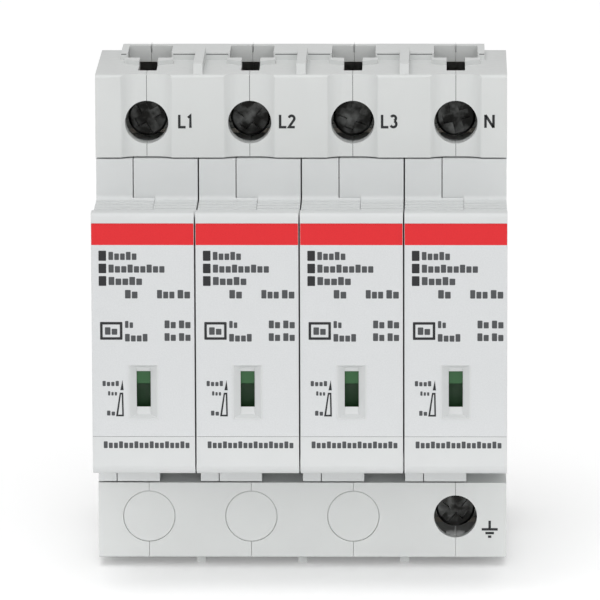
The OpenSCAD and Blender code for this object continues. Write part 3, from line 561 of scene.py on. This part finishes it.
# Tongues inside the seams, by y and z, which keep light from passing through behind the wire entries
TONGUE_HALF = 0.02
TONGUES = [
    [(-18.5, 42.7), (-18.1, 42.7), (-18.1, 44.9), (-18.5, 44.9)],
    [(-18.9, 42.7), (-17.2, 42.1), (-13.4, 38.6), (-12.2, 38.6), (-16.2, 42.4), (-17.0, 42.8)],
    [(0.2, 27.0), (3.6, 27.0), (3.6, 38.6), (0.2, 38.6)],
]
bm = bmesh.new()
for x in POLE_X:
    for outline in TONGUES:
        points = [bm.verts.new(((x - TONGUE_HALF) * MM, y * MM, z * MM)) for y, z in outline]
        thicken(bm, [bm.faces.new(points)], x + TONGUE_HALF, axis=0)
finish_piece("seam_tongues", bm, LOOKS["base_plastic"], "base")

# Springs, by wire in mm and turns, of which the end ones lie closed
SPRING_TURNS, SPRING_WIRE = 6, 0.4
STEPS_PER_TURN, WIRE_SIDES = 28, 10
CLOSED_TURNS, CLOSED_RISE = 0.9, 0.06


def coil(name, node):
    """Smooth round-wire spring in the place of a CAD spring, with its lower and upper end."""
    (x0, y0, z0), (x1, y1, z1) = low(node), high(node)
    cx, cy = (x0 + x1) / 2, (y0 + y1) / 2
    thick = SPRING_WIRE / 2
    radius = (x1 - x0) / 2 - thick
    steps = SPRING_TURNS * STEPS_PER_TURN
    bm = bmesh.new()
    loops = []
    for k in range(steps + 1):
        t = k / steps
        a = 2 * math.pi * SPRING_TURNS * t
        climbed = (t * SPRING_TURNS - CLOSED_TURNS) / (SPRING_TURNS - 2 * CLOSED_TURNS)
        rise = CLOSED_RISE * t + (1 - CLOSED_RISE) * min(max(climbed, 0), 1)
        middle = Vector((cx, cy, z0 + thick + (z1 - z0 - SPRING_WIRE) * rise))
        outward = Vector((math.cos(a), math.sin(a), 0))
        loop = []
        for j in range(WIRE_SIDES):
            b = 2 * math.pi * j / WIRE_SIDES
            lift = Vector((0, 0, thick * math.sin(b)))
            loop.append(bm.verts.new((middle + outward * (radius + thick * math.cos(b)) + lift) * MM))
        loops.append(loop)
    for a, b in zip(loops, loops[1:]):
        for j in range(WIRE_SIDES):
            n = (j + 1) % WIRE_SIDES
            bm.faces.new([a[j], a[n], b[n], b[j]])
    bm.faces.new(list(reversed(loops[0])))
    bm.faces.new(loops[-1])
    bmesh.ops.recalc_face_normals(bm, faces=bm.faces)
    obj = add_mesh(name, bm, LOOKS["spring_steel"])
    for face in obj.data.polygons:
        face.use_smooth = len(face.vertices) == 4
    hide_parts(node)
    return obj, (cx * MM, cy * MM, z0 * MM), (cx * MM, cy * MM, z1 * MM)


for side in ("left", "right"):
    spring, lower, upper = coil(f"clip_coil_{side}", f"rail_clip_spring_{side}")
    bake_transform(spring)
for i in range(1, POLES + 1):
    spring, lower, upper = coil(f"flag_coil_{i}", f"flag_spring_{i}")
    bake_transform(spring)

# Floor and light, in metres
FLOOR_HALF, FLOOR_CELLS = 6.0, 4
FLOOR_DARK, FLOOR_LIGHT, FLOOR_GLOW = 0.93, 0.96, 0.2
SKY_STRENGTH = 1.07
SIDE_DIM, BACK_DIM = 0.85, 0.45
SKY_LEVELS = [(0.1, grey(1.0)), (0.75, grey(0.3))]


def floor_material():
    """Pale floor that keeps shadows and is lifted for the rays that see it."""
    s = Shader("studio_floor")
    diffuse = s.add("ShaderNodeBsdfDiffuse")
    stops = [(NOISE_LOW, grey(FLOOR_DARK)), (NOISE_HIGH, grey(FLOOR_LIGHT))]
    s.link(s.ramp(s.noise(scale=3, detail=2), stops), diffuse.inputs["Color"])
    rays = s.add("ShaderNodeLightPath").outputs
    seen = s.maths("MAXIMUM", rays["Is Camera Ray"], rays["Is Glossy Ray"])
    seen = s.maths("MAXIMUM", seen, rays["Is Transmission Ray"])
    glow = s.add("ShaderNodeEmission")
    s.link(s.maths("MULTIPLY", seen, FLOOR_GLOW), glow.inputs["Strength"])
    both = s.add("ShaderNodeAddShader")
    s.link(diffuse.outputs[0], both.inputs[0])
    s.link(glow.outputs[0], both.inputs[1])
    s.link(both.outputs[0], s.tree.nodes["Material Output"].inputs["Surface"])
    return s.mat


def soft_sky():
    """Even light from all round, dimmer from the sides and from behind."""
    world = bpy.data.worlds.new("soft_studio")
    bpy.context.scene.world = world
    world.use_nodes = True
    sky = Nodes(world.node_tree)
    heading = sky.add("ShaderNodeSeparateXYZ")
    sky.link(sky.add("ShaderNodeTexCoord").outputs["Generated"], heading.inputs["Vector"])
    sideways = sky.maths("ABSOLUTE", heading.outputs["X"])
    behind = sky.maths("MULTIPLY", heading.outputs["Y"], BACK_DIM)
    turned_away = sky.maths("MULTIPLY_ADD", sideways, SIDE_DIM, behind)
    background = world.node_tree.nodes["Background"].inputs
    sky.link(sky.ramp(turned_away, SKY_LEVELS), background["Color"])
    background["Strength"].default_value = SKY_STRENGTH


def area(name, place, target, size, power, spread=180):
    """Rectangular lamp that faces a target, with its spread in degrees."""
    light = bpy.data.lights.new(name, "AREA")
    light.shape = "RECTANGLE"
    light.size, light.size_y = size
    light.energy = power
    light.spread = math.radians(spread)
    obj = add_object(name, light)
    obj.location = place
    obj.rotation_euler = (Vector(target) - Vector(place)).to_track_quat("-Z", "Y").to_euler()


bm = bmesh.new()
bmesh.ops.create_grid(bm, x_segments=FLOOR_CELLS, y_segments=FLOOR_CELLS, size=FLOOR_HALF)
floor = add_mesh("studio_floor", bm, floor_material())
floor.location = (0, 0, cad_box[0][2])
soft_sky()
area("front", (0.1, -2.0, 0.3), (0, 0, 0), size=(1.0, 0.8), power=4)
area("low_front", (0, -1.0, -0.01), (0, -0.044, -0.06), size=(0.5, 0.02), power=0.019, spread=6)
area("top", (-0.2, -0.4, 2.0), (0, 0, 0), size=(1.2, 1.2), power=8)

# Camera, found from the photograph: place in mm, turns in degrees, focal length in its pixels
EYE = (24.7, -1288.9, 248.2)
YAW, PITCH, ROLL = -1.15, 11.11, -0.19
FOCAL, PICTURE, SENSOR = 7318.2, 600, 36
FAR = 50


def photo_camera():
    yaw, pitch, roll = math.radians(YAW), math.radians(PITCH), math.radians(ROLL)
    level = math.cos(pitch)
    ahead = Vector((math.sin(yaw) * level, math.cos(yaw) * level, -math.sin(pitch)))
    right = Vector((math.cos(yaw), -math.sin(yaw), 0))
    up = right.cross(ahead)
    rolled_right = right * math.cos(roll) + up * math.sin(roll)
    rolled_up = up * math.cos(roll) - right * math.sin(roll)
    camera = bpy.data.cameras.new("photo_camera")
    camera.sensor_width = SENSOR
    camera.lens = FOCAL * SENSOR / PICTURE
    camera.clip_end = FAR
    eye = add_object("photo_camera", camera)
    turn = Matrix((rolled_right, rolled_up, -ahead)).transposed().to_4x4()
    eye.matrix_world = Matrix.Translation(Vector(EYE) * MM) @ turn
    return eye


bpy.context.scene.camera = photo_camera()
bpy.context.scene.view_settings.view_transform = "Standard"
